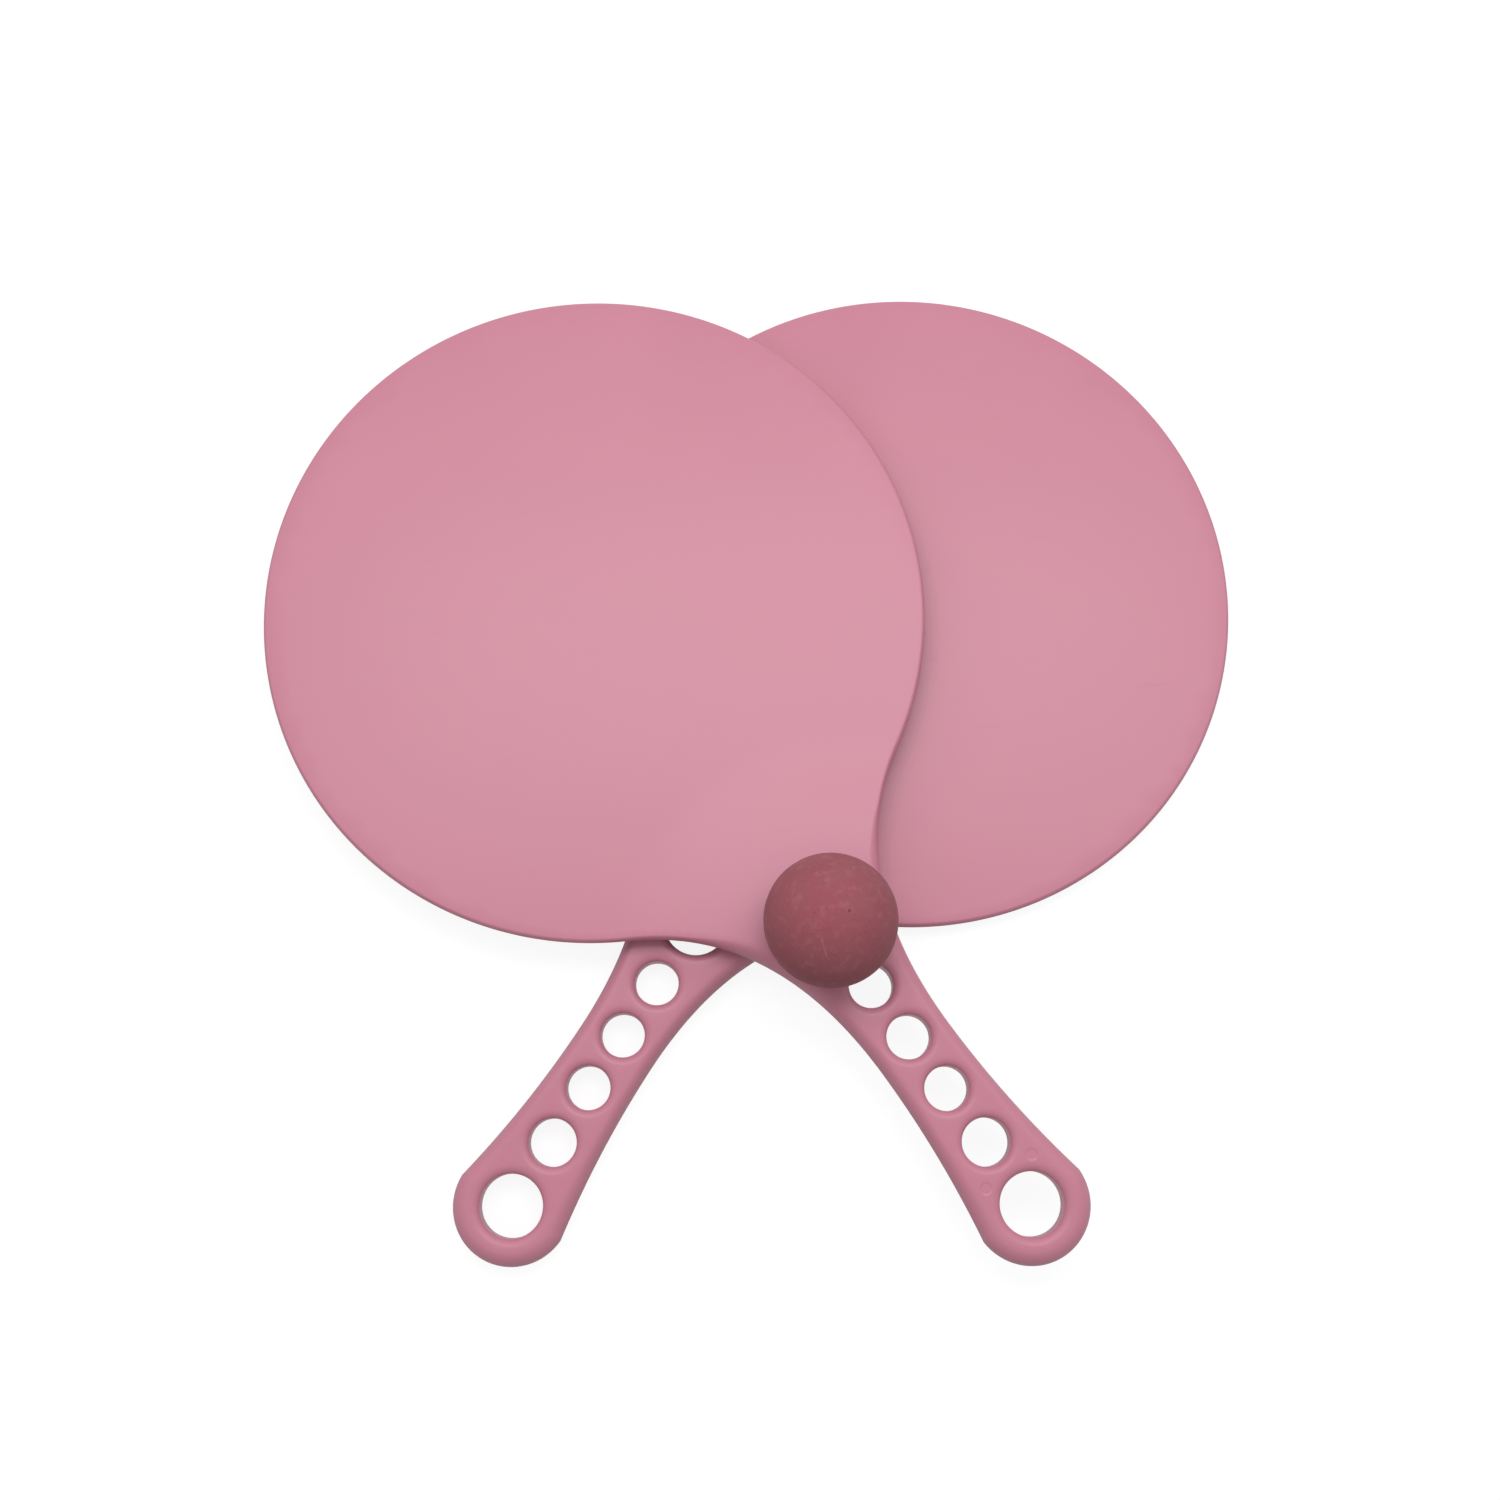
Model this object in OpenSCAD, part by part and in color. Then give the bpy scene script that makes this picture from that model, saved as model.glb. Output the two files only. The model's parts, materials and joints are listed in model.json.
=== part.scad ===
// Beach paddle set: two one-piece moulded paddles laid crossed, one on the other,
// and a sponge rubber ball that rests in the throat hole of the upper paddle.
// Millimetres, +Z up. The blades lie towards +Y, the handles towards -Y, the floor is z = 0.

/* [Paddle] */
// Length of a paddle, from the butt of its handle to the far edge of its blade
paddle_length = 330; // [300:1:380]
// Diameter of the round blade
blade_d = 198; // [170:1:216]
// Thickness of the blade
blade_t = 4; // [3:0.5:6]
// Width of the rounding along the blade's rim, seen from above
rim_round = 1.1; // [0.6:0.1:2]
// Thickness of the handle and of the throat around its hole
handle_t = 11; // [8:0.5:16]
// Length over which the throat thins down to the blade
ramp_length = 45; // [30:1:60]
// Distance before the throat hole's centre from which the thick throat fans out into the blade
ramp_back = 15; // [8:1:25]

/* [Handle outline] */
// Radius of the round butt, centred on the hang hole
butt_r = 17.2; // [15:0.1:21]
// Angle at the hang hole from the blade to the corner where the handle's side meets the butt
corner_angle = 92; // [86:1:100]
// Distance from the hang hole to the waist, the narrowest place of the handle
waist_at = 54; // [42:1:68]
// Width of the handle at its waist
waist_w = 24.3; // [20:0.1:28]
// Angle at the blade's centre from the handle to the place where the throat meets the rim
shoulder_angle = 30; // [24:1:38]
// Share of the throat curve's span over which it holds the line of the waist
waist_hold = 0.48; // [0.3:0.01:0.6]
// Share of the throat curve's span over which it holds the line of the rim
rim_hold = 0.3; // [0.2:0.01:0.45]
// Width of the rounded side of the handle, seen from above
side_round = 3.4; // [2:0.1:4.5]

/* [Handle holes] */
// Diameter of the hang hole in the butt
hang_hole_d = 18.2; // [12:0.1:20]
// Diameter of the large grip hole next to the hang hole
large_hole_d = 13.8; // [8:0.1:16]
// Diameter of the small grip holes
small_hole_d = 12.7; // [8:0.1:15]
// Number of small grip holes
small_holes = 3; // [2:1:4]
// Diameter of the throat hole, which seats the ball
throat_hole_d = 18.4; // [12:0.1:24]
// Web of material between one hole and the next
hole_web = 5.3; // [4:0.1:7]
// Radius of the rounded lip of every hole
lip_r = 2.2; // [1.4:0.1:2.6]
// Depth of the rounded lip of every hole
lip_depth = 2.1; // [1.2:0.1:2.1]

/* [Ball] */
// Diameter of the ball
ball_d = 38; // [30:0.5:60]

/* [Laying out] */
// Angle between the two handles
fan_angle = 69; // [45:1:110]
// Distance from the lower paddle's hang hole to the crossing of the two paddles
lower_cross = 128.5; // [110:0.5:150]
// Distance from the upper paddle's hang hole to the crossing of the two paddles
upper_cross = 132.5; // [110:0.5:150]
// Gap between pieces that rest on each other
rest_gap = 0.3; // [0.1:0.05:1]

/* [Hidden] */
$fn = 96;
// Points round half of the rim, from the top face over the edge to the bottom face
rim_points = 9;
// Points across a face between its two borders
face_points = 3;
// Spans of the outline along the butt, the hollow of the grip, the throat and the blade
butt_spans = 10;
grip_spans = 8;
throat_spans = 16;
blade_spans = 40;
// Length by which a cutter runs past the face that it cuts
past = 1;

blade_r = blade_d / 2;
// Places along a paddle are measured from the hang hole towards the blade
blade_at = paddle_length - butt_r - blade_r;

// Rows of holes: diameters in order, then centres with one web between neighbours
hole_d = concat([hang_hole_d, large_hole_d], [for (i = [1:small_holes]) small_hole_d], [throat_hole_d]);
function hole_at(i) = i == 0 ? 0 : hole_at(i - 1) + hole_d[i - 1] / 2 + hole_web + hole_d[i] / 2;
throat_i = len(hole_d) - 1;
throat_at = hole_at(throat_i);

// Hollow arc that runs from the butt's corner to the waist, where it lies along the handle
waist_h = waist_w / 2;
corner_p = butt_r * [cos(corner_angle), sin(corner_angle)];
hollow_r = (pow(waist_at - corner_p.x, 2) + pow(corner_p.y - waist_h, 2)) / (2 * (corner_p.y - waist_h));
hollow_c = [waist_at, waist_h + hollow_r];
hollow_angle = atan2(hollow_c.y - corner_p.y, hollow_c.x - corner_p.x);

// Throat curve: leaves the waist along the handle and arrives along the blade's rim
waist_p = [waist_at, waist_h];
shoulder_p = [blade_at - blade_r * cos(shoulder_angle), blade_r * sin(shoulder_angle)];
throat_span = norm(shoulder_p - waist_p);
throat_a = waist_p + [waist_hold * throat_span, 0];
throat_b = shoulder_p - rim_hold * throat_span * [sin(shoulder_angle), cos(shoulder_angle)];

// Thickness: full as far as the lip of the throat hole, then a smooth ramp that fans out into the blade
ramp_at = ramp_back + throat_hole_d / 2 + lip_r;
function ease(u) = let (v = min(1, max(0, u))) v * v * (3 - 2 * v);
function fan_reach(p) =
    let (along = max(0, p.x - throat_at + ramp_back), spread = min(1, along / ramp_back))
    norm([along, spread * p.y]);
function ramp(p) = ease((fan_reach(p) - ramp_at) / ramp_length);
function half_t(p) = (handle_t + (blade_t - handle_t) * ramp(p)) / 2;
function rim_w(p) = side_round + (rim_round - side_round) * ramp(p);

// Outline of one side as [point, direction into the material]; side is -1 on a bulging arc
// and 1 on a hollow one
function arc(c, r, from, to, spans, side, first) =
    [for (i = [first:spans])
        let (a = from + (to - from) * i / spans, d = [cos(a), sin(a)])
        [c + r * d, side * d]];
function bezier(a, b, c, d, u) =
    pow(1 - u, 3) * a + 3 * pow(1 - u, 2) * u * b + 3 * (1 - u) * u * u * c + pow(u, 3) * d;
function bezier_way(a, b, c, d, u) =
    pow(1 - u, 2) * (b - a) + 2 * (1 - u) * u * (c - b) + u * u * (d - c);
function throat() =
    [for (i = [1:throat_spans])
        let (u = i / throat_spans,
             p = bezier(waist_p, throat_a, throat_b, shoulder_p, u),
             way = bezier_way(waist_p, throat_a, throat_b, shoulder_p, u))
        [p, [way.y, -way.x] / norm(way)]];
outline = concat(
    arc([0, 0], butt_r, 180, corner_angle, butt_spans, -1, 0),
    arc(hollow_c, hollow_r, 180 + hollow_angle, 270, grip_spans, 1, 1),
    throat(),
    arc([blade_at, 0], blade_r, 180 - shoulder_angle, 0, blade_spans, -1, 1));
last = len(outline) - 1;

// Points of the skin: on the rim, at its place j from the top, and on a face, at its share c of the width
function border(i) = outline[i][0] + outline[i][1] * rim_w(outline[i][0]);
function rim_point(i, j, side) =
    let (a = 90 - 180 * j / (rim_points - 1),
         q = outline[i][0] + outline[i][1] * rim_w(outline[i][0]) * (1 - cos(a)))
    [q.x, side * q.y, half_t(border(i)) * sin(a)];
function face_point(i, c, side) =
    let (q = [border(i).x, c * border(i).y])
    [q.x, q.y, side * half_t(q)];
function share(n) = 1 - 2 * (n + 1) / (face_points + 1);
// One ring round the skin: k runs down the right rim, along the bottom face, up the left rim
// and along the top face
ring = 2 * (rim_points + face_points);
left_end = ring - face_points - 1;
function skin_point(i, k) =
    k < rim_points ? rim_point(i, k, 1)
    : k < rim_points + face_points ? face_point(i, share(k - rim_points), -1)
    : k <= left_end ? rim_point(i, left_end - k, -1)
    : face_point(i, -share(k - left_end - 1), 1);
// The two ends of the outline lie on the axis, where a ring closes up to one half of the rim
function end_id(k) =
    k < rim_points ? k
    : k < rim_points + face_points ? rim_points - 1
    : k <= left_end ? left_end - k
    : 0;
function skin_id(i, k) =
    i == 0 ? end_id(k)
    : rim_points + ring * (i - 1) + (i == last ? end_id(k) : k);
skin_points = concat(
    [for (k = [0:rim_points - 1]) skin_point(0, k)],
    [for (i = [1:last - 1], k = [0:ring - 1]) skin_point(i, k)],
    [for (k = [0:rim_points - 1]) skin_point(last, k)]);
skin_faces =
    [for (i = [0:last - 1], k = [0:ring - 1])
        let (n = (k + 1) % ring, a = skin_id(i, k), b = skin_id(i + 1, k),
             c = skin_id(i + 1, n), d = skin_id(i, n))
        for (f = [[a, b, c], [a, c, d]])
            if (f[0] != f[1] && f[1] != f[2] && f[2] != f[0]) f];

// Laying out: the crossing of the paddles, then the whole set centred over the origin
half_fan = fan_angle / 2;
reach_x = [for (cross = [lower_cross, upper_cross]) (blade_at - cross) * sin(half_fan) + blade_r];
butt_x = [for (cross = [upper_cross, lower_cross]) cross * sin(half_fan) + butt_r];
right_x = max(reach_x[0], butt_x[0]);
left_x = max(reach_x[1], butt_x[1]);
top_y = (blade_at - min(lower_cross, upper_cross)) * cos(half_fan) + blade_r;
bottom_y = max(lower_cross, upper_cross) * cos(half_fan) + butt_r;
crossing = [(left_x - right_x) / 2, (bottom_y - top_y) / 2];
lower_z = handle_t / 2;
upper_z = lower_z + handle_t + rest_gap;

// The ball touches the rounded lip of the throat hole
lip_ring_r = throat_hole_d / 2 + lip_r;
ball_over_lip = sqrt(pow(ball_d / 2 + lip_r + rest_gap, 2) - lip_ring_r * lip_ring_r);
ball_z = handle_t / 2 - lip_depth + ball_over_lip;

// A through hole with a rounded lip on both faces
module hole(d) {
    cylinder(d = d, h = handle_t + 2 * past, center = true);
    for (side = [0, 1])
        mirror([0, 0, side])
            rotate_extrude()
                difference() {
                    translate([0, handle_t / 2 - lip_depth])
                        square([d / 2 + lip_r, lip_depth + past]);
                    translate([d / 2 + lip_r, handle_t / 2 - lip_depth])
                        circle(r = lip_r);
                }
}

// One paddle in its own frame: hang hole at the origin, blade towards +X
module paddle() {
    difference() {
        polyhedron(points = skin_points, faces = skin_faces, convexity = 8);
        for (i = [0:throat_i])
            translate([hole_at(i), 0, 0])
                hole(hole_d[i]);
    }
}

// Lays a paddle with its crossing point over the crossing of the set
module lay(turn, cross, z) {
    translate([crossing.x, crossing.y, z])
        rotate([0, 0, 90 + turn])
            translate([-cross, 0, 0])
                children();
}

module lower_paddle() {
    color([0.83, 0.57, 0.64])
        lay(-half_fan, lower_cross, lower_z)
            paddle();
}

module upper_paddle() {
    color([0.85, 0.6, 0.67])
        lay(half_fan, upper_cross, upper_z)
            paddle();
}

module ball() {
    color([0.55, 0.3, 0.34])
        lay(half_fan, upper_cross, upper_z)
            translate([throat_at, 0, ball_z])
                sphere(d = ball_d);
}

lower_paddle();
upper_paddle();
ball();
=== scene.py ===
# %% [markdown]
# # Two beach paddles and a sponge ball
# The real set is three loose pieces: two identical paddles, each moulded from satin pink plastic in
# one shot, and a small ball ground from sponge rubber. The paddles lie crossed, and the ball sits in
# a hole of the upper one. The packed model gives the frame: where each piece is, and which body it
# moves with. Every piece here is a new mesh in that frame, in metres, and takes the place of the
# plain solid with the same size.

# %% The frame
import json
import math

import bmesh
import bpy
import numpy as np
from mathutils import Matrix, Vector, kdtree, noise
from mathutils.geometry import delaunay_2d_cdt


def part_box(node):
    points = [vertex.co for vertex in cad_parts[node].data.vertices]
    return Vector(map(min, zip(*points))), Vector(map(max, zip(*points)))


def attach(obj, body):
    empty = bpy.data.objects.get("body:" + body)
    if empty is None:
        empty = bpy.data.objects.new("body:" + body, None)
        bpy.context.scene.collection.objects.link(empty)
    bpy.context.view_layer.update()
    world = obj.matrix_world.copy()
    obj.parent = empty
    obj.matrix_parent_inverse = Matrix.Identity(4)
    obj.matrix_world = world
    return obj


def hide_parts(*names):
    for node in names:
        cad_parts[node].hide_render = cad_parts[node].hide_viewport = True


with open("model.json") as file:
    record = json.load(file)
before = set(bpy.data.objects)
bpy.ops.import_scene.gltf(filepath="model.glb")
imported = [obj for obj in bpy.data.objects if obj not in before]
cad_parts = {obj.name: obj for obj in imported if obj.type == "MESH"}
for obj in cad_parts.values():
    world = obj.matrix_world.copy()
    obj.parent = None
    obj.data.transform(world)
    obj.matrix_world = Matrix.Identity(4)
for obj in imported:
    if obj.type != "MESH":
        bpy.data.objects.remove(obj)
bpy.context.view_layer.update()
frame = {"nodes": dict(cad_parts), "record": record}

MM = 0.001
mounts = {mount["name"]: mount for mount in frame["record"]["mounts"]}

# %% [markdown]
# ## The camera
# The photograph looks almost straight down, from the handles' side and with a small roll. A camera
# could be turned by eye until the outlines agree. Here its place was solved from the holes, rims and
# ball, so that the numbers below are all it takes: a point to look at, a distance, three angles and
# a focal length in pixels of a square image.

# %% Camera
IMAGE_PX = 1500
FOCAL_PX = 2000
SENSOR = 36
LOOK_AT = Vector((-1.76, 3.93, 10)) * MM
LOOK_DISTANCE = 598.8 * MM
LOOK_TILT = math.radians(11.28)
LOOK_AZIMUTH = math.radians(-4.03)
LOOK_ROLL = math.radians(2.48)

look_back = Vector((
    math.sin(LOOK_AZIMUTH) * math.sin(LOOK_TILT),
    -math.cos(LOOK_AZIMUTH) * math.sin(LOOK_TILT),
    math.cos(LOOK_TILT),
))
level_right = Vector((math.cos(LOOK_AZIMUTH), math.sin(LOOK_AZIMUTH), 0))
look_right = Matrix.Rotation(LOOK_ROLL, 3, look_back) @ level_right
look_up = look_back.cross(look_right)

camera = bpy.data.objects.new("camera", bpy.data.cameras.new("camera"))
camera.data.sensor_width = SENSOR
camera.data.lens = SENSOR * FOCAL_PX / IMAGE_PX
turn = Matrix((look_right, look_up, look_back)).transposed()
camera.matrix_world = Matrix.Translation(LOOK_AT + LOOK_DISTANCE * look_back) @ turn.to_4x4()
bpy.context.scene.collection.objects.link(camera)
bpy.context.scene.camera = camera
print("lens:", camera.data.lens, "mm")

# %% [markdown]
# ## Sizes of a paddle
# A paddle is drawn in its own plane: s runs from the hang hole in the butt towards the blade, t runs
# across, and z is up from the middle of its thickness. The sizes below are those of the solid model,
# in millimetres. The thickness of the handle and the width of the hang hole are read from the frame.
# The handle is thick and the blade thin, and between them the thickness eases down over a ramp that
# fans out from the throat. A straight ramp across the throat would be simpler, but its two ends would
# show as creases in the rim.

# %% Paddle sizes
paddle_low, paddle_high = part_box("lower_paddle")
HANDLE_T = (paddle_high.z - paddle_low.z) / MM
PADDLE_LENGTH = 330
BLADE_R = 99
BLADE_T = 4
RAMP_LENGTH = 45
RAMP_BACK = 15
BUTT_R = 17.2
CORNER = math.radians(92)
WAIST_AT = 54
WAIST_H = 12.15
SHOULDER = math.radians(30)
WAIST_HOLD = 0.48
RIM_HOLD = 0.3
HANG_HOLE_R = mounts["lower_hang_hole"]["dims"]["r_mm"]
LARGE_HOLE_R = 6.9
SMALL_HOLE_R = 6.35
SMALL_HOLES = 3
THROAT_HOLE_R = 9.2
HOLE_WEB = 5.3
LIP_R = 2.2

BLADE_AT = PADDLE_LENGTH - BUTT_R - BLADE_R
hole_radii = [HANG_HOLE_R, LARGE_HOLE_R] + [SMALL_HOLE_R] * SMALL_HOLES + [THROAT_HOLE_R]
hole_places = [0]
for before, after in zip(hole_radii, hole_radii[1:]):
    hole_places.append(hole_places[-1] + before + HOLE_WEB + after)
ramp_at = RAMP_BACK + THROAT_HOLE_R + LIP_R


def ramp(plan):
    """0 on the handle, 1 on the blade, and a smooth change that fans out from the throat."""
    s, t = np.asarray(plan).T
    along = np.maximum(0, s - hole_places[-1] + RAMP_BACK)
    reach = np.hypot(along, t * np.minimum(1, along / RAMP_BACK))
    share = np.clip((reach - ramp_at) / RAMP_LENGTH, 0, 1)
    return share * share * (3 - 2 * share)


def half_thickness(plan):
    return (HANDLE_T + (BLADE_T - HANDLE_T) * ramp(plan)) / 2


print("holes along the handle:", [round(place, 2) for place in hole_places])

# %% [markdown]
# ## The outline
# From above, one side of a paddle is four curves in a row: the round butt, which ends in a faint
# corner, a long shallow hollow to the waist, the swing of the throat out to the shoulder, and the
# blade's circle. Tracing them with hundreds of points would work, but arcs and one Bezier curve say
# the same with a handful of sizes. Each point also keeps the direction into the plastic, which the
# rounded edge needs.

# %% Outline curves
OUTLINE_STEP = 1.5


def arc(centre, radius, start, stop, side):
    """Points of an arc and the ways into the plastic: side is -1 on a bulge, 1 on a hollow."""
    spans = max(2, round(abs(stop - start) * radius / OUTLINE_STEP))
    angles = np.linspace(start, stop, spans + 1)
    ways = np.column_stack((np.cos(angles), np.sin(angles)))
    return np.asarray(centre) + radius * ways, side * ways


def throat_curve():
    """The curve that leaves the waist along the handle and arrives along the blade's rim."""
    start = np.array((WAIST_AT, WAIST_H))
    end = np.array((BLADE_AT - BLADE_R * math.cos(SHOULDER), BLADE_R * math.sin(SHOULDER)))
    span = np.linalg.norm(end - start)
    leave = start + (WAIST_HOLD * span, 0)
    arrive = end - RIM_HOLD * span * np.array((math.sin(SHOULDER), math.cos(SHOULDER)))
    u = np.linspace(0, 1, round(span / OUTLINE_STEP) + 1)[:, None]
    v = 1 - u
    points = v ** 3 * start + 3 * v ** 2 * u * leave + 3 * v * u * u * arrive + u ** 3 * end
    ways = v ** 2 * (leave - start) + 2 * v * u * (arrive - leave) + u * u * (end - arrive)
    inward = np.column_stack((ways[:, 1], -ways[:, 0]))
    return points, inward / np.linalg.norm(inward, axis=1)[:, None]


print("throat curve:", len(throat_curve()[0]), "points")

# %% Outline


def outline():
    """The closed outline of a paddle, once round, with the directions into the plastic."""
    corner_s, corner_t = BUTT_R * math.cos(CORNER), BUTT_R * math.sin(CORNER)
    run, rise = WAIST_AT - corner_s, corner_t - WAIST_H
    hollow_r = (run ** 2 + rise ** 2) / (2 * rise)
    hollow_c = (WAIST_AT, WAIST_H + hollow_r)
    hollow_turn = math.atan2(hollow_c[1] - corner_t, hollow_c[0] - corner_s)
    curves = [
        arc((0, 0), BUTT_R, math.pi, CORNER, -1),
        arc(hollow_c, hollow_r, math.pi + hollow_turn, 1.5 * math.pi, 1),
        throat_curve(),
        arc((BLADE_AT, 0), BLADE_R, math.pi - SHOULDER, 0, -1),
    ]
    points = np.vstack([curves[0][0]] + [curve[0][1:] for curve in curves[1:]])
    inward = np.vstack([curves[0][1]] + [curve[1][1:] for curve in curves[1:]])
    mirror = np.array((1, -1))
    return (
        np.vstack((points, points[-2:0:-1] * mirror)),
        np.vstack((inward, inward[-2:0:-1] * mirror)),
    )


edge_points, edge_inward = outline()
print("outline:", len(edge_points), "points, box", np.ptp(edge_points, axis=0).round(2), "mm")

# %% [markdown]
# ## Collecting a skin
# A moulding has one closed skin. The easy bands of it are grids: the rounded edge, and the lips and
# walls of the holes. Only the flat faces between them need a free triangulation. This small class
# collects points, how much wear each point gets, and faces, and joins closed rows of points into
# bands.

# %% Skin


class Skin:
    """Points in millimetres, their wear from 0 to 1, and the faces of one piece."""

    def __init__(self):
        self.points = []
        self.wear = []
        self.faces = []

    def add(self, points, wear):
        first = len(self.points)
        self.points.extend(np.asarray(points).tolist())
        self.wear.extend([wear] * len(points))
        return np.arange(first, len(self.points))

    def band(self, rows, wears):
        """Adds closed rows of points, joins neighbours with quads, and returns the outer rows."""
        ids = [self.add(row, wear) for row, wear in zip(rows, wears)]
        for upper, lower in zip(ids, ids[1:]):
            corners = (upper, np.roll(upper, -1), np.roll(lower, -1), lower)
            self.faces.extend(np.column_stack(corners).tolist())
        return ids[0], ids[-1]


print("a skin holds:", ", ".join(vars(Skin())))

# %% [markdown]
# ## The rounded edge
# The handle's side is well rounded, most of all round the butt, so that it lies well in the hand. The
# blade's thin rim is only broken by a millimetre. One half of an ellipse does all of it: only its
# width and height change along the way. Where the two halves of the mould met, a hairline ridge runs
# round the middle, so every row but the middle one is set in a little more. A bevel modifier could
# round the edge, but not change its form along the way.

# %% Rounded edge
PARTING = 0.06
SIDE_ROUND = 3.3
BUTT_ROUND = 4.4
BUTT_FADE = 32
RIM_ROUND = 1.1
RIM_EARLY = 2
EDGE_ROWS = [1, 0.9, 0.8, 0.7, 0.59, 0.47, 0.34, 0.2, 0.05, 0]
edge_rows = EDGE_ROWS + [-row for row in EDGE_ROWS[-2::-1]]


def edge_inset(angle):
    """The outline, set in for one row: most round the butt, least on the thin blade."""
    to_butt = np.clip(1 - edge_points[:, 0] / BUTT_FADE, 0, 1)
    to_blade = np.minimum(1, RIM_EARLY * ramp(edge_points))
    grip = SIDE_ROUND + (BUTT_ROUND - SIDE_ROUND) * to_butt
    width = grip + (RIM_ROUND - grip) * to_blade
    inset = PARTING * (2 if angle else 1) + width * (1 - math.cos(angle))
    return edge_points + edge_inward * inset[:, None]


edge_heights = half_thickness(edge_inset(math.pi / 2))


def edge_row(row):
    """One row of the rounded edge: 1 is the upper face's border, 0 the middle, -1 the lower one."""
    angle = row * math.pi / 2
    return np.column_stack((edge_inset(angle), edge_heights * math.sin(angle)))


print("edge rows:", len(edge_rows), "half heights", edge_heights.min(), "to", edge_heights.max())

# %% [markdown]
# ## The holes
# Each hole is a plain bore with a full, soft lip on both faces, the mark of a rounded core in the
# mould. The lips of two neighbours almost meet, so the web between them looks rounded. The two cores
# met half-way, which leaves a hairline ridge inside as well. A boolean cut and a bevel would give the
# hole but not such an even lip, so the rows are laid as rings: a quarter of an ellipse that leaves
# the face without a crease, and then the wall.

# %% Holes
HOLE_STEP = 0.75
WIDE_LIP = 2.75
GRIP_LIP = 2.4
LIP_DEPTH = 2.2
LIP_ROWS = 8
WALL_ROWS = [0.66, 0.33, 0.06, 0]
hole_lips = [WIDE_LIP] + [GRIP_LIP] * (len(hole_radii) - 2) + [WIDE_LIP]
wall_top = HANDLE_T / 2 - LIP_DEPTH


def hole_section(radius, width):
    """The section of a hole's skin, from the upper lip to the lower one, as radii and heights."""
    lip = [
        (radius + width * (1 - math.cos(turn)), wall_top + LIP_DEPTH * math.sin(turn))
        for turn in np.linspace(math.pi / 2, 0, LIP_ROWS + 1)
    ]
    wall = [(radius if share else radius - PARTING / 2, wall_top * share) for share in WALL_ROWS]
    upper = lip + wall
    return upper + [(out, -up) for out, up in upper[-2::-1]]


def hole_rows(place, radius, width):
    """Rings from the upper lip down the wall to the lower lip."""
    spans = round(math.tau * radius / HOLE_STEP)
    angles = np.linspace(0, math.tau, spans, endpoint=False)
    across, along = np.cos(angles), np.sin(angles)
    return [
        np.column_stack((place + out * across, out * along, np.full(spans, up)))
        for out, up in hole_section(radius, width)
    ]


print("flat web between two lips:", round(HOLE_WEB - hole_lips[0] - hole_lips[1], 2), "mm")

# %% [markdown]
# ## Points of the flat faces
# What is left is a flat face with holes in it. One large polygon would shade badly where the face
# bends, so points are laid over it in staggered rows, which are fine on the handle, where small forms
# sit, and coarse on the wide blade. They keep clear of every border, so that no sliver is left.

# %% Face points
FINE_STEP = 1.4
COARSE_STEP = 4.5
CLEAR_STEPS = 0.7


def in_hole(s, t):
    """Whether a point of the face lies over a hole or its lip."""
    holes = zip(hole_places, hole_radii, hole_lips)
    return any(math.hypot(s - place, t) < radius + lip for place, radius, lip in holes)


def point_tree(points):
    tree = kdtree.KDTree(len(points))
    for index, (s, t) in enumerate(points):
        tree.insert((s, t, 0), index)
    tree.balance()
    return tree


def free_points(rim, border):
    """Staggered points that lie inside the rim and keep clear of every border point."""
    near_rim, near_any = point_tree(rim), point_tree(border)
    found = []
    s = -BUTT_R
    odd = 0
    while s < PADDLE_LENGTH - BUTT_R:
        coarse = float(ramp((s - RAMP_LENGTH / 2, 0)))
        step = FINE_STEP + (COARSE_STEP - FINE_STEP) * coarse
        reach = math.ceil(BLADE_R / step)
        for t in (np.arange(-reach, reach) + odd / 2) * step:
            edge = near_rim.find((s, t, 0))[1]
            inside = (np.array((s, t)) - rim[edge]) @ edge_inward[edge] > 0
            clear = near_any.find((s, t, 0))[2] > CLEAR_STEPS * step
            if inside and clear and not in_hole(s, t):
                found.append((s, t))
        s += step * math.sqrt(3) / 2
        odd = 1 - odd
    return np.array(found)


print("points of a face are", FINE_STEP, "to", COARSE_STEP, "mm apart")

# %% [markdown]
# ## Filling the flat faces
# A constrained triangulation joins those points to the border rows. Two shallow round marks beside
# the hang hole are where pins pushed the paddle out of its mould, and rings of points give them their
# small step. They are on one face only: the upper paddle shows them, and the lower one lies on them.

# %% Face filling
PIN_R = 1.8
PIN_SPANS = 28
PIN_STEPS = [(0.15, 0), (0, 0), (-0.2, 0.13), (-0.5, 0.13)]
pin_places = [(11.2, 8.1), (11.2, -8.1)]
INSIDE = 1
JOIN_WITHIN = 1e-5


def ring(centre, radius):
    angles = np.linspace(0, math.tau, PIN_SPANS, endpoint=False)
    return np.asarray(centre) + radius * np.column_stack((np.cos(angles), np.sin(angles)))


def loop_edges(plans):
    """The edges of closed loops of points that are numbered one after the other."""
    edges = []
    first = 0
    for plan in plans:
        numbers = np.arange(first, first + len(plan))
        edges.extend(zip(numbers.tolist(), np.roll(numbers, -1).tolist()))
        first += len(plan)
    return edges


def pin_depth(plan, pins):
    """How deep the pin marks are at each point."""
    outs, sinks = zip(*PIN_STEPS[::-1])
    depth = np.zeros(len(plan))
    for pin in pins:
        depth += np.interp(np.hypot(*(plan - pin).T) - PIN_R, outs, sinks)
    return depth


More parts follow.
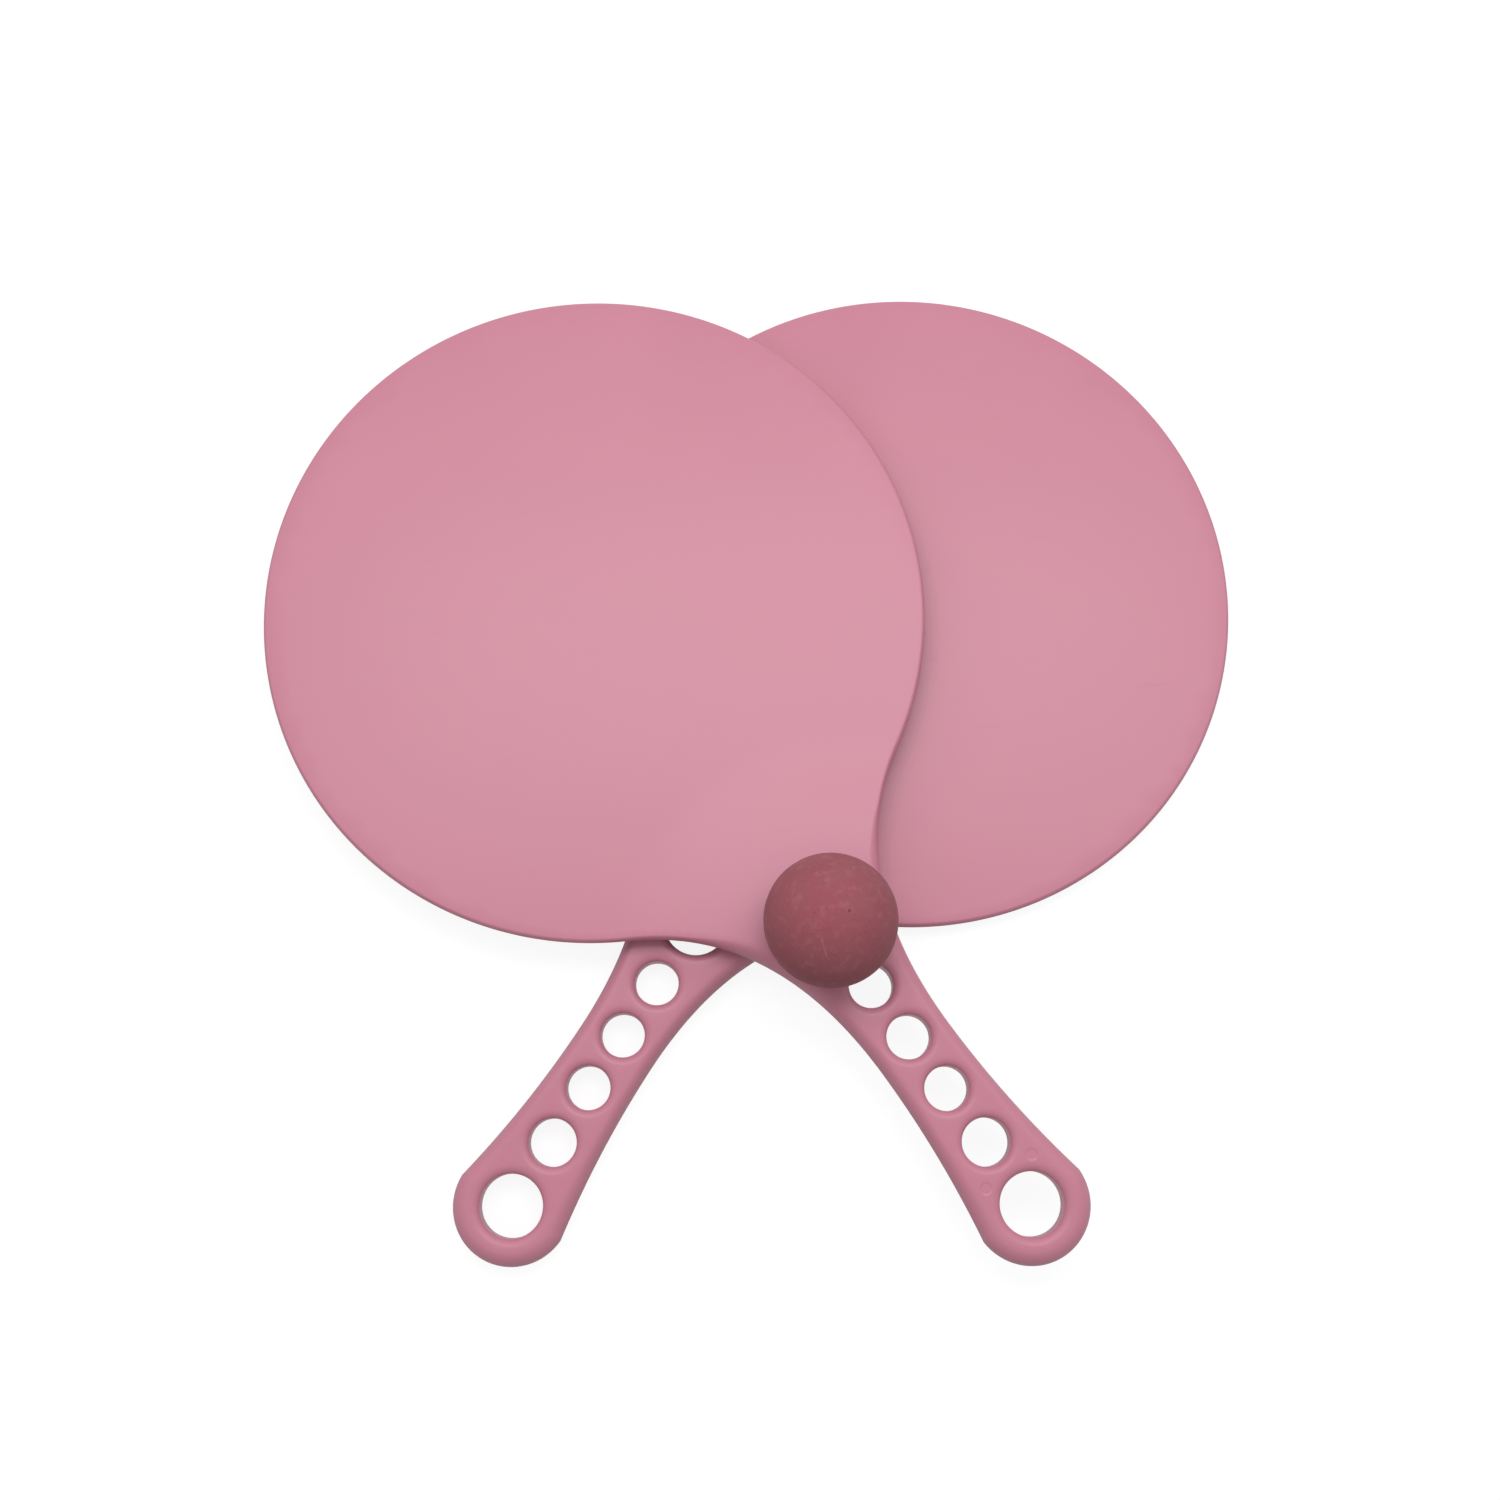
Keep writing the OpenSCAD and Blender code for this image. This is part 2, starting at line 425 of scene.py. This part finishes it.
def fill_face(skin, loops, side, pins):
    """Triangulates one face between its border loops, and sinks the pin marks into it."""
    rings = [ring(pin, PIN_R + out) for pin in pins for out, sunk in PIN_STEPS]
    plans = [np.array(skin.points)[loop, :2] for loop in loops] + rings
    border = np.vstack(plans)
    inner = free_points(plans[0], border)
    new = np.vstack(rings + [inner])
    heights = side * (half_thickness(new) - pin_depth(new, pins))
    new_ids = skin.add(np.column_stack((new, heights)), 0)
    ids = np.concatenate(loops + [new_ids])
    flat = [Vector(point) for point in np.vstack((border, inner))]
    joined = delaunay_2d_cdt(flat, loop_edges(plans), [], INSIDE, JOIN_WITHIN)
    real = [int(ids[origin[0]]) for origin in joined[3]]
    for face in joined[2]:
        middle = np.mean([joined[0][corner] for corner in face], axis=0)
        if not in_hole(*middle):
            skin.faces.append([real[corner] for corner in face])
    return len(inner)


print("pin marks:", len(pin_places), "of", 2 * PIN_R, "mm across")

# %% [markdown]
# ## One paddle
# The bands and faces join into one closed skin. A moulded plate is never quite flat: it shrinks as it
# cools, so the faces sink by a few hundredths of a millimetre here and there. A sculpting brush could
# do that by hand, but a sum of long waves gives it evenly, and always inwards.

# %% Paddle skin
SHRINK = 0.05
WAVE_ALONG = 17
WAVE_ACROSS = 23
WAVE_SLANTED = 29
WAVE_STEEP = 41
BORE_WEAR = 0.4
LIP_WORN_ROWS = 3


def shrink(s, t):
    """How far a face has sunk, in millimetres: three waves that drift in and out of step."""
    waves = np.sin(s / WAVE_ALONG + 0.6) * np.cos(t / WAVE_ACROSS)
    waves = waves + np.sin((s + t) / WAVE_SLANTED)
    waves = waves + np.sin((s - 2 * t) / WAVE_STEEP + 2)
    return SHRINK * (1 + waves / 3)


def bore_wear(count):
    """Wear of a hole's rows: none where the lips leave the faces, the same all down the wall."""
    last = count - 1
    places = (0, LIP_WORN_ROWS, last - LIP_WORN_ROWS, last)
    return np.interp(np.arange(count), places, (0, BORE_WEAR, BORE_WEAR, 0))


def paddle_skin():
    skin = Skin()
    rim = skin.band([edge_row(row) for row in edge_rows], [1 - abs(row) for row in edge_rows])
    bores = []
    for place, radius, width in zip(hole_places, hole_radii, hole_lips):
        rows = hole_rows(place, radius, width)
        bores.append(skin.band(rows, bore_wear(len(rows))))
    upper = fill_face(skin, [rim[0]] + [bore[0] for bore in bores], 1, pin_places)
    lower = fill_face(skin, [rim[1]] + [bore[1] for bore in bores], -1, [])
    points = np.array(skin.points)
    points[:, 2] *= 1 - shrink(points[:, 0], points[:, 1]) / half_thickness(points[:, :2])
    print("free points on the faces:", upper, lower)
    return points, skin.wear, skin.faces


skin_points, skin_wear, skin_faces = paddle_skin()
print("paddle skin:", len(skin_points), "points,", len(skin_faces), "faces")

# %% [markdown]
# ## From a skin to a piece
# Each real piece is one closed body, so each becomes one mesh object. Its faces were collected without
# care for which side is out. They could be turned one by one, but bmesh turns them all outward, and
# counts the edges that would leave the skin open. Values such as wear go on the points, where a finish
# can read them.

# %% Making a piece


def make_piece(name, points, values, faces):
    """A smooth mesh object with outward faces, and named values such as wear on its points."""
    mesh = bpy.data.meshes.new(name)
    mesh.from_pydata(points, [], faces)
    form = bmesh.new()
    form.from_mesh(mesh)
    bmesh.ops.recalc_face_normals(form, faces=form.faces)
    open_edges = [edge for edge in form.edges if not edge.is_manifold]
    form.to_mesh(mesh)
    form.free()
    for value_name, value in values.items():
        kept = mesh.attributes.new(value_name, "FLOAT", "POINT")
        kept.data.foreach_set("value", np.asarray(value, np.float32))
    mesh.shade_smooth()
    piece = bpy.data.objects.new(name, mesh)
    bpy.context.scene.collection.objects.link(piece)
    print(name, "has", len(mesh.polygons), "faces and", len(open_edges), "open edges")
    return piece


print("solids to replace:", ", ".join(frame["nodes"]))

# %% [markdown]
# ## Laying the paddles
# The frame's record gives the middle of each hang hole, and the handles fan out by a known angle. An
# object could be moved and turned into its place, but here a matrix turns the points themselves, so
# that each piece's box is its true box. The lower paddle is turned over, pin marks down.

# %% Laying
HALF_FAN = math.radians(34.5)
UPRIGHT = math.pi / 2
TURNED_OVER = math.pi


def lay_paddle(name, node, mount, turn, flip):
    hang = Matrix.Translation(mounts[mount]["pos_m"])
    turned = Matrix.Rotation(turn, 4, "Z") @ Matrix.Rotation(flip, 4, "X")
    place = hang @ turned @ Matrix.Scale(MM, 4)
    points = skin_points @ np.array(place.to_3x3()).T + np.array(place.translation)
    piece = make_piece(name, points, {"wear": skin_wear}, skin_faces)
    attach(piece, node)
    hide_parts(node)
    return piece


lower_paddle = lay_paddle(
    "lower_paddle_moulding", "lower_paddle", "lower_hang_hole", UPRIGHT - HALF_FAN, TURNED_OVER
)
upper_paddle = lay_paddle(
    "upper_paddle_moulding", "upper_paddle", "upper_hang_hole", UPRIGHT + HALF_FAN, 0
)

# %% [markdown]
# ## The ball as the camera sees it
# The ball is sponge rubber: ground round, then scuffed in play, so its skin is matt, a little uneven
# and open in small pores. Some of its marks are plain in the photograph. They are placed as seen from
# the camera, in shares of the radius to the right and up, and this helper turns such a place into a
# direction from the ball's middle.

# %% Ball in view
ball_low, ball_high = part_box("ball")
ball_middle = (ball_low + ball_high) / 2
ball_r = (ball_high.z - ball_low.z) / 2 / MM
ball_back = (camera.matrix_world.translation - ball_middle).normalized()
ball_up = (look_up - ball_back * look_up.dot(ball_back)).normalized()
ball_right = ball_up.cross(ball_back)


def seen(right, up):
    """The direction from the ball's middle to a point that the camera sees right and up of it."""
    towards = math.sqrt(1 - right * right - up * up)
    return np.array(ball_right * right + ball_up * up + ball_back * towards)


print("ball radius:", round(ball_r, 2), "mm")

# %% [markdown]
# ## Pores and scratches
# Pores are small cones pressed into the skin, and scratches are fine grooves. A bump map could draw
# both, but the marks would be flat at the ball's edge, and lost in a model without its materials. So
# they go into the mesh, and a value on each point tells the rubber's finish where they are: above 0
# in a pore, below 0 in a scratch. A clear pore has its place to the right and up, its size in
# millimetres and its depth as a share.

# %% Ball marks
PORES = 60
PORE_SIZE = 0.3
PORE_SIZE_MORE = 0.15
PORE_DEEP = 0.1
PORE_DEEP_MORE = 0.25
CLEAR_PORES = [
    (0.265, 0.133, 0.5, 1), (-0.24, 0.105, 0.45, 0.5), (-0.06, 0.16, 0.35, 0.4),
    (-0.06, 0.534, 0.4, 0.4), (-0.027, 0.77, 0.4, 0.4), (-0.405, -0.197, 0.4, 0.35),
    (-0.61, -0.197, 0.4, 0.35), (-0.63, -0.03, 0.4, 0.3), (0.563, -0.013, 0.35, 0.3),
    (-0.093, -0.141, 0.35, 0.35),
]
PORE_SLOPE = 0.5
SCRATCH = [(-0.13, -0.28), (-0.07, -0.495), (-0.02, -0.565)]
SCRATCH_SHARES = [0.5, 0.2]
SCRATCH_WIDTH = 0.3
SCRATCH_DEPTH = 0.06
HAIRLINES = 40
HAIRLINE_LENGTH = 0.2
HAIRLINE_DEEP = 0.04
HAIRLINE_DEEP_MORE = 0.12


def random_ways(draw, count):
    ways = draw.normal(size=(count, 3))
    return ways / np.linalg.norm(ways, axis=1)[:, None]


def press_pores(ways, sink, wear, draw):
    """Presses small pores all over the skin, and the clear ones where the camera sees them."""
    pores = []
    for way in random_ways(draw, PORES):
        size = PORE_SIZE + PORE_SIZE_MORE * draw.random()
        deep = PORE_DEEP + PORE_DEEP_MORE * draw.random()
        pores.append((way, size, deep))
    pores += [(seen(right, up), size, deep) for right, up, size, deep in CLEAR_PORES]
    for place, size, deep in pores:
        away = ball_r * np.linalg.norm(ways - place, axis=1)
        pit = deep * np.clip(1 - away / size, 0, 1)
        sink += PORE_SLOPE * size * pit
        np.maximum(wear, pit, out=wear)


def cut_lines(ways, sink, wear, draw):
    """Cuts the long scratch with its bend, and hairlines all over."""
    bends = [seen(*bend) for bend in SCRATCH]
    lines = list(zip(bends, bends[1:], SCRATCH_SHARES))
    for start, turn in zip(random_ways(draw, HAIRLINES), random_ways(draw, HAIRLINES)):
        end = start + HAIRLINE_LENGTH * np.cross(start, turn)
        lines.append((start, end, HAIRLINE_DEEP + HAIRLINE_DEEP_MORE * draw.random()))
    for start, end, deep in lines:
        way = end - start
        share = np.clip((ways - start) @ way / (way @ way), 0, 1)
        away = ball_r * np.linalg.norm(ways - start - share[:, None] * way, axis=1)
        cut = deep * np.clip(1 - away / SCRATCH_WIDTH, 0, 1)
        sink += SCRATCH_DEPTH * cut
        wear[:] = np.where(cut > np.abs(wear), -cut, wear)


print("marks:", PORES + len(CLEAR_PORES), "pores and", HAIRLINES + len(SCRATCH_SHARES), "lines")

# %% [markdown]
# ## The ball
# A plain sphere would look like glass or paint. Here a dense sphere of even triangles is pushed in by
# soft noise, by a fine grain, and by the marks above. Nothing is pushed out, so the ball keeps its
# size. A second value marks the middle of the side that faces the camera. There the colour is
# painted redder as painted reflection: it stands in for the pale sheen that shows only towards
# the rim.

# %% Ball
BALL_CUTS = 7
UNEVEN = 0.09
UNEVEN_PACE = 3.1
GRAIN = 0.03
GRAIN_PACE = 38
# Painted reflection: where, and how wide, the middle of the side facing the camera is painted redder.
PAINTED_NO_SHEEN_AT = (-0.08, 0.0)
PAINTED_NO_SHEEN_SIZE = 0.55
BALL_SEED = 5


def even_sphere():
    """Directions to the points of a sphere of even triangles, and its faces."""
    form = bmesh.new()
    bmesh.ops.create_icosphere(form, subdivisions=BALL_CUTS, radius=1)
    ways = np.array([vert.co for vert in form.verts])
    faces = [[vert.index for vert in face.verts] for face in form.faces]
    form.free()
    return ways / np.linalg.norm(ways, axis=1)[:, None], faces


def sponge_ball():
    ways, faces = even_sphere()
    soft = np.array([noise.noise(Vector(way) * UNEVEN_PACE) for way in ways])
    fine = np.array([noise.noise(Vector(way) * GRAIN_PACE) for way in ways])
    sink = UNEVEN * (0.5 + 0.5 * soft) + GRAIN * (0.5 + 0.5 * fine)
    wear = np.zeros(len(ways))
    draw = np.random.default_rng(BALL_SEED)
    press_pores(ways, sink, wear, draw)
    cut_lines(ways, sink, wear, draw)
    # Painted reflection: 1 in the middle of the side facing the camera, which the finish paints
    # redder.
    rub = np.exp(-((ways - seen(*PAINTED_NO_SHEEN_AT)) ** 2).sum(axis=1) / PAINTED_NO_SHEEN_SIZE ** 2)
    points = np.array(ball_middle) + ways * (ball_r - sink)[:, None] * MM
    print("skin sinks by", sink.min().round(3), "to", sink.max().round(3), "mm")
    return make_piece("sponge_ball", points, {"wear": wear, "rub": rub}, faces)


ball = sponge_ball()
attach(ball, "ball")
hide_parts("ball")

# %% [markdown]
# ## Shaders as expressions
# A finish is a sum of masks and noises, and reads best as arithmetic. Nodes could be made and linked
# one by one, in many more lines. This class wraps one socket of a node tree: an operator between two
# wrapped values adds a Math node, and node() makes any other node, with its settings first and then
# the values or links of its sockets.

# %% Shader values


class Shade:
    """A socket of a shader tree that can be reckoned with."""

    def __init__(self, tree, socket=None):
        self.tree = tree
        self.socket = socket

    def node(self, kind, settings, sockets, output=0):
        made = self.tree.nodes.new("ShaderNode" + kind)
        for name, value in settings.items():
            if name == "stops":
                for stop, (place, level) in zip(made.color_ramp.elements, value):
                    stop.position = place
                    stop.color = (level, level, level, 1)
            else:
                setattr(made, name, value)
        for name, value in sockets.items():
            if isinstance(value, Shade):
                self.tree.links.new(value.socket, made.inputs[name])
            else:
                made.inputs[name].default_value = value
        return Shade(self.tree, made.outputs[output] if made.outputs else None)

    def reckon(self, operation, first, second):
        return self.node("Math", {"operation": operation}, {0: first, 1: second})

    def __add__(self, other):
        return self.reckon("ADD", self, other)

    def __radd__(self, other):
        return self.reckon("ADD", other, self)

    def __sub__(self, other):
        return self.reckon("SUBTRACT", self, other)

    def __rsub__(self, other):
        return self.reckon("SUBTRACT", other, self)

    def __mul__(self, other):
        return self.reckon("MULTIPLY", self, other)

    def __rmul__(self, other):
        return self.reckon("MULTIPLY", other, self)

    def ramp(self, low, high):
        """0 below low, 1 above high and an even change between them."""
        return self.node("ValToRGB", {"stops": [(low, 0), (high, 1)]}, {"Fac": self})

    def noise(self, place, size, detail=2.0):
        """Noise from 0 to 1 whose blots are about that many metres across."""
        return self.node("TexNoise", {}, {"Vector": place, "Scale": 1 / size, "Detail": detail})

    def tint(self, mask, under, over):
        """One colour where the mask is 0, the other where it is 1."""
        return self.node("Mix", {"data_type": "RGBA"}, {0: mask, 6: under, 7: over}, 2)


print("a shade can:", ", ".join(name for name in vars(Shade) if not name.startswith("_")))

# %% Finishes


def new_finish(name):
    """An empty material, and the wrapped tree to fill it with."""
    material = bpy.data.materials.new(name)
    material.use_nodes = True
    material.node_tree.nodes.clear()
    return material, Shade(material.node_tree)


def close_finish(shade, surface):
    shade.node("OutputMaterial", {}, {"Surface": surface})
    print("finish of", len(shade.tree.nodes), "nodes")


print("finishes that came with the frame:", len(bpy.data.materials))

# %% [markdown]
# ## Satin pink plastic
# The paddles are dyed plastic from a finely blasted mould: an even dusty pink with a soft sheen. One
# flat colour would look like paper. Up close the dye clouds a little, handling leaves faint
# hairlines, and the rims turn paler and duller where they knock against things. The finish mixes
# those from noise at their real sizes, and a fine bump stands for the blasted grain.

# %% Hairlines
SCUFF_LENGTH = 30 * MM
SCUFF_SQUEEZE = 30
SCUFF_ANGLES = (0.4, 1.3, 2.4)


def scuff_marks(shade, place):
    """Hairlines in three directions: noise that is squeezed across its streaks."""
    marks = 0
    for angle in SCUFF_ANGLES:
        squeeze = {"Vector": place, "Rotation": (0, 0, angle), "Scale": (1, SCUFF_SQUEEZE, 1)}
        streaks = shade.noise(shade.node("Mapping", {}, squeeze), SCUFF_LENGTH)
        marks = streaks.ramp(0.66, 0.74) + marks
    return marks


print("hairlines run in", len(SCUFF_ANGLES), "directions,", SCUFF_LENGTH / MM, "mm long")

# %% Plastic
PINK = (0.512, 0.19, 0.261, 1)
PINK_CLOUD = (0.528, 0.198, 0.271, 1)
PINK_WORN = (0.6, 0.29, 0.36, 1)
CLOUD_SIZE = 45 * MM
PATCH_SIZE = 6 * MM
BLAST_SIZE = 0.5 * MM
BLAST_DEPTH = 0.05 * MM
SCUFF_PALE = 0.06
KNOCK_PALE = 0.3
SATIN = 0.32
CLOUD_DULL = 0.04
SCUFF_DULL = 0.1
KNOCK_DULL = 0.12
RIM_DULL = 0.25


def paddle_plastic():
    material, shade = new_finish("satin_pink_plastic")
    place = shade.node("TexCoord", {}, {}, "Object")
    wear = shade.node("Attribute", {"attribute_name": "wear"}, {}, "Fac")
    cloud = shade.noise(place, CLOUD_SIZE, 3.0).ramp(0.3, 0.7)
    patch = shade.noise(place, PATCH_SIZE, 4.0)
    scuffs = scuff_marks(shade, place) * patch.ramp(0.45, 0.65)
    knocks = wear * wear * patch.ramp(0.42, 0.62)
    colour = shade.tint(cloud, PINK, PINK_CLOUD)
    colour = shade.tint(SCUFF_PALE * scuffs + KNOCK_PALE * knocks, colour, PINK_WORN)
    dull = SATIN + CLOUD_DULL * cloud + SCUFF_DULL * scuffs + KNOCK_DULL * knocks
    height = shade.noise(place, BLAST_SIZE) + 0.4 * scuffs
    relief = {"Strength": 0.12, "Distance": BLAST_DEPTH, "Height": height}
    surface = shade.node("BsdfPrincipled", {}, {
        "Base Color": colour,
        "Roughness": dull + RIM_DULL * wear,
        "IOR": 1.49,
        "Specular IOR Level": 0.4,
        "Normal": shade.node("Bump", {}, relief),
    })
    close_finish(shade, surface)
    return material


plastic = paddle_plastic()
for paddle in (lower_paddle, upper_paddle):
    paddle.data.materials.append(plastic)

# %% [markdown]
# ## Dusty sponge rubber
# The ball's rubber is a deep red pink under a paler film of dust and abrasion that lies thicker and
# thinner in patches. The middle of the side that faces the camera is painted redder: painted
# reflection, standing in for the pale sheen that shows only towards the rim. Pores are painted
# darker, as painted shade inside them; scratches and wisps of dust are paler. A photograph of rubber
# could be wrapped round the ball, but its scale would be fixed, so every layer is noise at its own
# size. The rubber has almost no sheen, and nearly all of its look is in the colour.

# %% Fine pores
FINE_PORE_SIZE = 1.6 * MM
PORE_PATCH_SIZE = 3 * MM


def fine_pores(shade, place):
    """Small cells, in patches, which the finish paints dark: painted shade inside the pores."""
    cells = {"Vector": place, "Scale": 1 / FINE_PORE_SIZE}
    away = shade.node("TexVoronoi", {}, cells, "Distance")
    return (1 - away.ramp(0.1, 0.3)) * shade.noise(place, PORE_PATCH_SIZE).ramp(0.5, 0.62)


print("fine pores are about", round(FINE_PORE_SIZE / MM, 2), "mm apart")

# %% Rubber
RUBBER = (0.265, 0.064, 0.083, 1)
RUBBER_DUST = (0.275, 0.08, 0.097, 1)
# Painted reflection: the redder rubber of the middle of the side facing the camera.
RUBBER_PAINTED_NO_SHEEN = (0.3, 0.064, 0.085, 1)
# Painted shade: the near black colour of the inside of a pore.
RUBBER_PORE_SHADE = (0.09, 0.02, 0.027, 1)
RUBBER_SCRATCH = (0.46, 0.21, 0.22, 1)
DUST_SIZE = 8 * MM
WISP_SIZE = 2.4 * MM
SPECKLE_SIZE = 0.8 * MM
RUBBER_RELIEF = 0.12 * MM
# Painted reflection: how far the middle facing the camera is painted redder.
PAINTED_NO_SHEEN_SHARE = 0.6
SPECKLE_PALE = 0.35
WISP_PALE = 0.14
FINE_PORE_SHADE = 0.2
MATT = 0.78
DUST_DULL = 0.14


def ball_rubber():
    material, shade = new_finish("dusty_sponge_rubber")
    place = shade.node("TexCoord", {}, {}, "Object")
    wear = shade.node("Attribute", {"attribute_name": "wear"}, {}, "Fac")
    rub = shade.node("Attribute", {"attribute_name": "rub"}, {}, "Fac")
    dust = shade.noise(place, DUST_SIZE, 5.0).ramp(0.36, 0.66)
    speckle = shade.noise(place, SPECKLE_SIZE, 3.0)
    wisps = shade.noise(place, WISP_SIZE, 5.0).ramp(0.52, 0.68)
    pores = fine_pores(shade, place)
    colour = shade.tint(dust, RUBBER, RUBBER_DUST)
    # Painted reflection: the middle facing the camera is painted redder, as if without the rim's pale
    # sheen.
    colour = shade.tint(PAINTED_NO_SHEEN_SHARE * rub, colour, RUBBER_PAINTED_NO_SHEEN)
    colour = shade.tint(SPECKLE_PALE * speckle.ramp(0.5, 0.75), colour, RUBBER_DUST)
    colour = shade.tint(WISP_PALE * wisps, colour, RUBBER_SCRATCH)
    # Painted shade: fine pores and the pressed pores are painted dark, as the shade inside them.
    colour = shade.tint(FINE_PORE_SHADE * pores, colour, RUBBER_PORE_SHADE)
    colour = shade.tint(wear.ramp(0.0, 0.8), colour, RUBBER_PORE_SHADE)
    colour = shade.tint((0 - wear).ramp(0.0, 0.9), colour, RUBBER_SCRATCH)
    height = speckle + 0.6 * dust + 0.5 * wisps - 0.3 * pores
    relief = {"Strength": 0.45, "Distance": RUBBER_RELIEF, "Height": height}
    surface = shade.node("BsdfPrincipled", {}, {
        "Base Color": colour,
        "Roughness": MATT + DUST_DULL * dust,
        "IOR": 1.4,
        "Sheen Weight": 0.05,
        "Sheen Roughness": 0.5,
        "Normal": shade.node("Bump", {}, relief),
    })
    close_finish(shade, surface)
    return material


ball.data.materials.append(ball_rubber())

# %% [markdown]
# ## The floor
# The photograph has a clean white ground. More light would make a floor white, but bleach the object
# too. So the floor asks what kind of ray looks at it: the camera, mirrors and glass see a pale floor
# with a glow of its own, which comes out white and still takes the soft shadow. Light that bounces
# meets a dimmer floor, so that the undersides of the plastic keep their depth.

# %% Floor
FLOOR_SIZE = 6
FLOOR_PALE = (0.17, 0.17, 0.17, 1)
FLOOR_DIM = (0.3, 0.3, 0.3, 1)
FLOOR_LIFT = 0.88
WHITE = (1, 1, 1, 1)


def shown_directly(shade):
    """1 for rays from the camera, and for those that a mirror or a glass sends on."""
    kinds = ("Is Camera Ray", "Is Glossy Ray", "Is Transmission Ray")
    camera_ray, glossy_ray, glass_ray = [shade.node("LightPath", {}, {}, kind) for kind in kinds]
    return shade.reckon("MINIMUM", camera_ray + glossy_ray + glass_ray, 1)


def floor_finish():
    material, shade = new_finish("pale_floor")
    dim = shade.node("BsdfDiffuse", {}, {"Color": FLOOR_DIM})
    pale = shade.node("BsdfDiffuse", {}, {"Color": FLOOR_PALE})
    glow = shade.node("Emission", {}, {"Color": WHITE, "Strength": FLOOR_LIFT})
    lifted = shade.node("AddShader", {}, {0: pale, 1: glow})
    seen_floor = shade.node("MixShader", {}, {0: shown_directly(shade), 1: dim, 2: lifted})
    close_finish(shade, seen_floor)
    return material


reach = FLOOR_SIZE / 2
floor_corners = [(-reach, -reach, 0), (reach, -reach, 0), (reach, reach, 0), (-reach, reach, 0)]
floor_mesh = bpy.data.meshes.new("floor")
floor_mesh.from_pydata(floor_corners, [], [(0, 1, 2, 3)])
floor_mesh.materials.append(floor_finish())
floor = bpy.data.objects.new("floor", floor_mesh)
bpy.context.scene.collection.objects.link(floor)
print("floor:", FLOOR_SIZE, "m")

# %% [markdown]
# ## The fill light
# The light in the photograph is soft, and comes from beyond the blades: the ball is brighter on that
# side. A picture of a studio could light the scene, but three plain levels do: one overhead, one
# beyond the blades and one on the handles' side, mixed by the direction of the ray. Low down, the
# camera sees plain white, so that the ground has no visible end.

# %% Fill
FILL_TOP = 0.8
FILL_NEAR = 0.17
FILL_FAR = 1.07
WHITE_UP_TO = (0.3, 0.55)

world = bpy.data.worlds.new("studio")
world.use_nodes = True
world.node_tree.nodes.clear()
sky = Shade(world.node_tree)
way = sky.node("TexCoord", {}, {}, "Generated")
far, high = [sky.node("SeparateXYZ", {}, {0: way}, axis) for axis in "YZ"]
top, near_side, far_side, white = [
    sky.node("Background", {}, {"Color": WHITE, "Strength": level})
    for level in (FILL_TOP, FILL_NEAR, FILL_FAR, 1)
]
side = sky.node("MixShader", {}, {0: 0.5 + 0.5 * far, 1: near_side, 2: far_side})
fill = sky.node("MixShader", {}, {0: 1 - high * high, 1: top, 2: side})
shown_white = shown_directly(sky) * (1 - high.ramp(*WHITE_UP_TO))
dome = sky.node("MixShader", {}, {0: shown_white, 1: fill, 2: white})
sky.node("OutputWorld", {}, {"Surface": dome})
bpy.context.scene.world = world
print("fill on a level face:", FILL_TOP / 2 + (FILL_NEAR + FILL_FAR) / 4)

# %% [markdown]
# ## The key light
# The blades have a broad pale sheen, and the handles are a little darker. A large lamp over the far
# half of the set gives both: its reflection spreads over the satin blades, and its light falls off
# towards the handles. A small lamp would draw a spot and hard shadows.

# %% Key
KEY_PLACE = Vector((0.028, 0.17, 0.6))
KEY_SIZE = (0.6, 0.24)
KEY_POWER = 1.95

lamp = bpy.data.lights.new("key", "AREA")
lamp.shape = "RECTANGLE"
lamp.size, lamp.size_y = KEY_SIZE
lamp.energy = KEY_POWER
key = bpy.data.objects.new("key", lamp)
key.location = KEY_PLACE
bpy.context.scene.collection.objects.link(key)
bpy.context.scene.view_settings.view_transform = "Standard"
print("key lamp:", KEY_POWER, "W at", [round(x, 2) for x in KEY_PLACE])

# %% [markdown]
